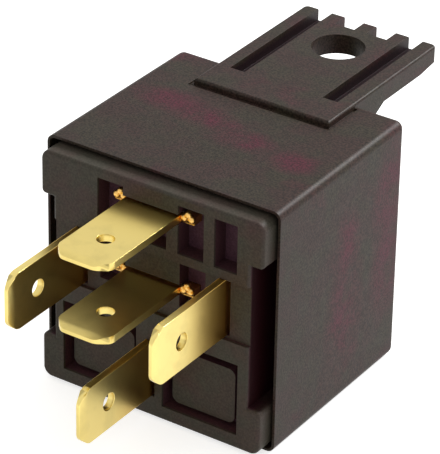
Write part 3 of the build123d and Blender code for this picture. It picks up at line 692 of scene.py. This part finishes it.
# %% Rolled brass
FLAT_ROUGHNESS = 0.30
FLAT_PLAIN = (0.77, 0.61, 0.203)
# Painted light: the flat blades' brass is lighter near the base.
FLAT_ROOT_PAINTED_LIGHT = (0.86, 0.66, 0.20)
UPRIGHT_ROUGHNESS = 0.285
# Painted light: the upright blades' brass is a shade lighter than the flat blades'.
UPRIGHT_PLAIN_PAINTED_LIGHTER = (0.82, 0.655, 0.228)
# Painted shade: the upright blades go browner near the base, a painted reflection of it.
UPRIGHT_ROOT_PAINTED_SHADE = (0.66, 0.38, 0.075)
# Painted reflection: orange brass where a blade is staked in its pocket.
BRASS_PAINTED_POCKET_REFLECTION = (0.82, 0.49, 0.14)
SMEAR = 0.88
SMEAR_UP_TO = 0.5
STREAK_STRETCH = (1, 14, 1)
STREAK_IN_GLOSS = 0.008
# Where the painted light and shade of the root and the painted reflection of the pocket set in, in
# millimetres along Y.
ROOT = (BASE_FACE - 7.0, BASE_FACE)
POCKET_REFLECTION_EDGE = (BASE_FACE + 0.15, BASE_FACE + 0.30)


def rolled_brass(name, roughness, plain, root_light_and_shade):
    """Bright rolled brass, with painted light and shade towards the base and a painted orange
    reflection where it is staked in the base.
    """
    material, tree, shader = new_finish(name, roughness, metallic=1.0)
    place = place_in_mm(tree)
    smeared = [channel * SMEAR for channel in plain]
    handled = noise(tree, place, feature_mm=2.4, detail=4.0)
    gold = ramp(tree, handled, (NOISE_LOW, smeared), (SMEAR_UP_TO, plain))
    along = parts_of(tree, place)["Y"]
    # Painted light and shade towards the base, and a painted orange reflection in the pocket.
    root_lit_and_shaded = mixed(tree, past(tree, along, ROOT), gold, root_light_and_shade)
    pocket_reflected = mixed(tree, past(tree, along, POCKET_REFLECTION_EDGE), root_lit_and_shaded, BRASS_PAINTED_POCKET_REFLECTION)
    feed(tree, shader.inputs["Base Color"], pocket_reflected)
    streaks = noise(tree, place, feature_mm=0.12, detail=3.0, stretch=STREAK_STRETCH)
    gloss = between(
        tree, streaks, NOISE_LOW, NOISE_HIGH,
        roughness - STREAK_IN_GLOSS, roughness + STREAK_IN_GLOSS)
    feed(tree, shader.inputs["Roughness"], gloss)
    bump(tree, shader, noise(tree, place, feature_mm=1.6, detail=2.0), depth_mm=0.002)
    return material


upright_brass = rolled_brass("upright_brass", UPRIGHT_ROUGHNESS, UPRIGHT_PLAIN_PAINTED_LIGHTER, UPRIGHT_ROOT_PAINTED_SHADE)
flat_brass = rolled_brass("flat_brass", FLAT_ROUGHNESS, FLAT_PLAIN, FLAT_ROOT_PAINTED_LIGHT)
print("brasses:", upright_brass.name, flat_brass.name)

# %% [markdown]
# A stamped blade has clipped corners at its tip, and tumbling rounds them off and takes the burr
# from the long edges. The bevel modifier used so far would round all sharp edges alike, also
# those down in the base, where small notches leave no room for it. So here a test picks the
# edges: first the short ones through the blade's thickness at its tip, then the sharp ones
# outside the base.

# %% Blades
TIP_CORNER_MM = 0.5
BLADE_EDGE_MM = 0.1
ROUNDING_STEPS = 4
ROUND_PROFILE = 0.5
TIP_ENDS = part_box("terminal_30")[0][1] + 1.5 * MM
OUTSIDE_BASE = (BASE_FACE - 1.5) * MM
LONGEST_THROUGH_BLADE = 0.85 * MM
SHARP_BLADE_EDGE = math.radians(30)


def at_tip_corner(edge):
    """True for the short edges through the blade's thickness at its clipped corners."""
    first, second = (v.co for v in edge.verts)
    across = (second - first).normalized()
    near_tip = max(first.y, second.y) < TIP_ENDS
    square = abs(across.y) < 0.01 and max(abs(across.x), abs(across.z)) > 0.999
    return near_tip and square and (second - first).length < LONGEST_THROUGH_BLADE


def outside_base(edge):
    """True for the sharp edges that start well outside the base."""
    nearest_tip = min(v.co.y for v in edge.verts)
    return nearest_tip < OUTSIDE_BASE and edge.calc_face_angle(0) > SHARP_BLADE_EDGE


def round_edges(shape, is_picked, width_mm):
    """Rounds only the edges that a test picks, and says how many they are."""
    picked = [edge for edge in shape.edges if len(edge.link_faces) == 2 and is_picked(edge)]
    bmesh.ops.bevel(
        shape, geom=picked, offset=width_mm * MM, offset_type="OFFSET",
        segments=ROUNDING_STEPS, profile=ROUND_PROFILE, affect="EDGES", clamp_overlap=True)
    return len(picked)


def dressed_blade(node, name, material):
    """A blade with its clipped corners rounded off and soft edges outside the base."""
    piece = copy_of(node, name)
    with editing(piece.data) as shape:
        corners = round_edges(shape, at_tip_corner, TIP_CORNER_MM)
    with editing(piece.data) as shape:
        edges = round_edges(shape, outside_base, BLADE_EDGE_MM)
    with editing(piece.data) as shape:
        merge_close_corners(shape)
    print(name, "corners", corners, "edges", edges)
    finish_piece(piece, node, material)


BLADES = {
    "terminal_30": ("blade_30", upright_brass),
    "terminal_85": ("blade_85", upright_brass),
    "terminal_86": ("blade_86", upright_brass),
    "terminal_87": ("blade_87", flat_brass),
    "terminal_87a": ("blade_87a", flat_brass),
}
for node, (name, material) in BLADES.items():
    dressed_blade(node, name, material)

# %% [markdown]
# Inside, the magnet's iron is plated, the spool is pale nylon, the leaf is bronze, and the
# contacts are silver. The closed case hides them, so their finishes are simpler: two tones that
# waver, a grain of their own, and their own gloss. One function serves four of the metals,
# since they differ only in tone and gloss.

# %% Iron, nylon, bronze, silver and copper
PLATED_TONES = ((0.46, 0.45, 0.40), (0.62, 0.60, 0.54))
PLATED_ROUGHNESS = (0.28, 0.42)
SPOOL_TONES = ((0.66, 0.62, 0.52), (0.74, 0.71, 0.62))
SPOOL_ROUGHNESS = 0.42
MORE_GLOSSY = 0.05
LESS_GLOSSY = 0.08


def two_tones(tree, place, tones, feature_mm, detail):
    """A colour that wavers between a darker and a lighter tone."""
    dark, light = tones
    clouds = noise(tree, place, feature_mm, detail)
    return ramp(tree, clouds, (NOISE_LOW, dark), (NOISE_HIGH, light))


def plated_iron(name):
    """Satin plated iron."""
    material, tree, shader = new_finish(name, sum(PLATED_ROUGHNESS) / 2, metallic=1.0)
    place = place_in_mm(tree)
    colour = two_tones(tree, place, PLATED_TONES, feature_mm=1.5, detail=4.0)
    feed(tree, shader.inputs["Base Color"], colour)
    grain = noise(tree, place, feature_mm=0.1, detail=3.0)
    gloss = between(tree, grain, NOISE_LOW, NOISE_HIGH, *PLATED_ROUGHNESS)
    feed(tree, shader.inputs["Roughness"], gloss)
    bump(tree, shader, grain, depth_mm=0.003)
    return material


def pale_nylon(name):
    """The spool's natural nylon, slightly waxy."""
    material, tree, shader = new_finish(name, SPOOL_ROUGHNESS)
    place = place_in_mm(tree)
    colour = two_tones(tree, place, SPOOL_TONES, feature_mm=2.0, detail=3.0)
    feed(tree, shader.inputs["Base Color"], colour)
    bump(tree, shader, noise(tree, place, feature_mm=0.2, detail=2.0), depth_mm=0.006)
    return material


def soft_metal(name, dark, light, roughness):
    """A small metal piece, a little uneven in colour."""
    material, tree, shader = new_finish(name, roughness, metallic=1.0)
    place = place_in_mm(tree)
    colour = two_tones(tree, place, (dark, light), feature_mm=0.6, detail=4.0)
    feed(tree, shader.inputs["Base Color"], colour)
    grain = noise(tree, place, feature_mm=0.08, detail=2.0)
    gloss = between(
        tree, grain, NOISE_LOW, NOISE_HIGH, roughness - MORE_GLOSSY, roughness + LESS_GLOSSY)
    feed(tree, shader.inputs["Roughness"], gloss)
    bump(tree, shader, grain, depth_mm=0.002)
    return material


iron = plated_iron("plated_iron")
spool = pale_nylon("spool_nylon")
bronze = soft_metal("spring_bronze", (0.55, 0.32, 0.14), (0.70, 0.45, 0.22), roughness=0.34)
silver = soft_metal("contact_silver", (0.74, 0.73, 0.70), (0.88, 0.87, 0.84), roughness=0.33)
rivet_steel = soft_metal("rivet_steel", (0.55, 0.53, 0.48), (0.72, 0.70, 0.64), roughness=0.34)
copper = soft_metal("enamelled_copper", (0.50, 0.17, 0.06), (0.66, 0.26, 0.10), roughness=0.33)
print("inner finishes:", [m.name for m in (iron, spool, bronze, silver, rivet_steel, copper)])

# %% [markdown]
# These pieces need nothing but the usual dressing. The bevel is given piece by piece, because it
# has to stay well under half of the thinnest wall: broad for the magnet, hair-thin for the wires,
# whose many small facets must not be taken for sharp edges.

# %% Magnet, spool, wires, contacts and rivets
MAGNET_EDGE_MM = 0.12
ARMATURE_EDGE_MM = 0.1
SPOOL_EDGE_MM = 0.12
SMALL_EDGE_MM = 0.06
WIRE_EDGE = {"width_mm": 0.02, "segments": 1, "sharper_than": 60}

dressed("yoke", "magnet_yoke", iron, MAGNET_EDGE_MM)
dressed("core", "magnet_core", iron, MAGNET_EDGE_MM)
dressed("armature", "tipping_armature", iron, ARMATURE_EDGE_MM)
dressed("bobbin", "coil_spool", spool, SPOOL_EDGE_MM)
dressed("coil_lead_start", "wire_to_86", copper, **WIRE_EDGE)
dressed("coil_lead_finish", "wire_to_85", copper, **WIRE_EDGE)
CONTACTS_AND_RIVETS = {
    "moving_contact": ("contact_on_leaf", silver),
    "fixed_contact_no": ("contact_of_87", silver),
    "fixed_contact_nc": ("contact_of_87a", silver),
    "armature_rivet_left": ("rivet_armature_left", rivet_steel),
    "armature_rivet_right": ("rivet_armature_right", rivet_steel),
    "spring_rivet_left": ("rivet_leaf_left", rivet_steel),
    "spring_rivet_right": ("rivet_leaf_right", rivet_steel),
    "terminal_rivet": ("rivet_of_30", rivet_steel),
}
for node, (name, material) in CONTACTS_AND_RIVETS.items():
    dressed(node, name, material, SMALL_EDGE_MM)

# %% [markdown]
# The leaf is one strip of spring bronze: its tail is riveted to the yoke and its upper end to the
# armature, and only the loop between them bends when the armature tips. So it doesn't ride on
# either of the two, and stays where it stands.

# %% Leaf spring
LEAF_EDGE_MM = 0.03
LEAF_SHARP_EDGE = 50

leaf = copy_of("contact_spring", "leaf_spring")
soften(leaf, LEAF_EDGE_MM, segments=1, sharper_than=LEAF_SHARP_EDGE)
finish_piece(leaf, "contact_spring", bronze, rides=False)
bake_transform(leaf)

# %% [markdown]
# The winding is one smooth body in the solids. Here it gets its outer layer of wire: the profile
# of the winding has a half-round for each turn, and is turned once about the coil's axis. The
# turns are real geometry, so they still catch the light when the case is lifted off. A helix would
# differ from these rings by less than the width of the wire.

# %% Coil with its turns of wire
WIRE_PITCH = 0.21 * MM
STEPS_PER_TURN = 6
STEPS_ROUND = 72


def winding_measures():
    """The coil's middle, its inner and outer radius, and its two ends, read off the solid."""
    low, high = (Vector(corner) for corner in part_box("coil_winding"))
    middle = (low + high) / 2
    outer = (high.x - low.x) / 2
    points = [v.co for v in frame["nodes"]["coil_winding"].data.vertices]
    inner = min(math.hypot(p.x - middle.x, p.z - middle.z) for p in points)
    return middle, inner, outer, low.y, high.y


def wound_profile(inner, outer, start, end):
    """(radius, y) round the winding's cross-section, with a half-round bump for each turn."""
    turns = round((end - start) / WIRE_PITCH)
    pitch = (end - start) / turns
    profile = [(inner, end), (inner, start)]
    for turn in range(turns):
        for step in range(STEPS_PER_TURN):
            angle = math.pi * step / STEPS_PER_TURN
            rise = pitch / 2 * math.sin(angle)
            along = pitch / 2 * (1 - math.cos(angle))
            profile.append((outer - pitch / 2 + rise, start + turn * pitch + along))
    profile.append((outer - pitch / 2, end))
    print("turns of wire in the outer layer:", turns)
    return profile


def turned(name, profile, middle):
    """A closed profile turned once about the line through the middle, along Y."""
    shape = bmesh.new()
    rings = []
    for step in range(STEPS_ROUND):
        angle = math.tau * step / STEPS_ROUND
        rings.append([
            shape.verts.new((middle.x + r * math.cos(angle), y, middle.z + r * math.sin(angle)))
            for r, y in profile
        ])
    for here, there in zip(rings, rings[1:] + rings[:1]):
        for k in range(len(profile)):
            after = (k + 1) % len(profile)
            shape.faces.new((here[k], here[after], there[after], there[k]))
    bmesh.ops.recalc_face_normals(shape, faces=shape.faces)
    mesh = bpy.data.meshes.new(name)
    shape.to_mesh(mesh)
    shape.free()
    piece = bpy.data.objects.new(name, mesh)
    bpy.context.scene.collection.objects.link(piece)
    return piece


coil_middle, coil_inner, coil_outer, coil_start, coil_end = winding_measures()
coil_profile = wound_profile(coil_inner, coil_outer, coil_start, coil_end)
coil = turned("wound_coil", coil_profile, coil_middle)
finish_piece(coil, "coil_winding", copper)
print("coil radii in mm:", round(coil_inner / MM, 2), round(coil_outer / MM, 2))
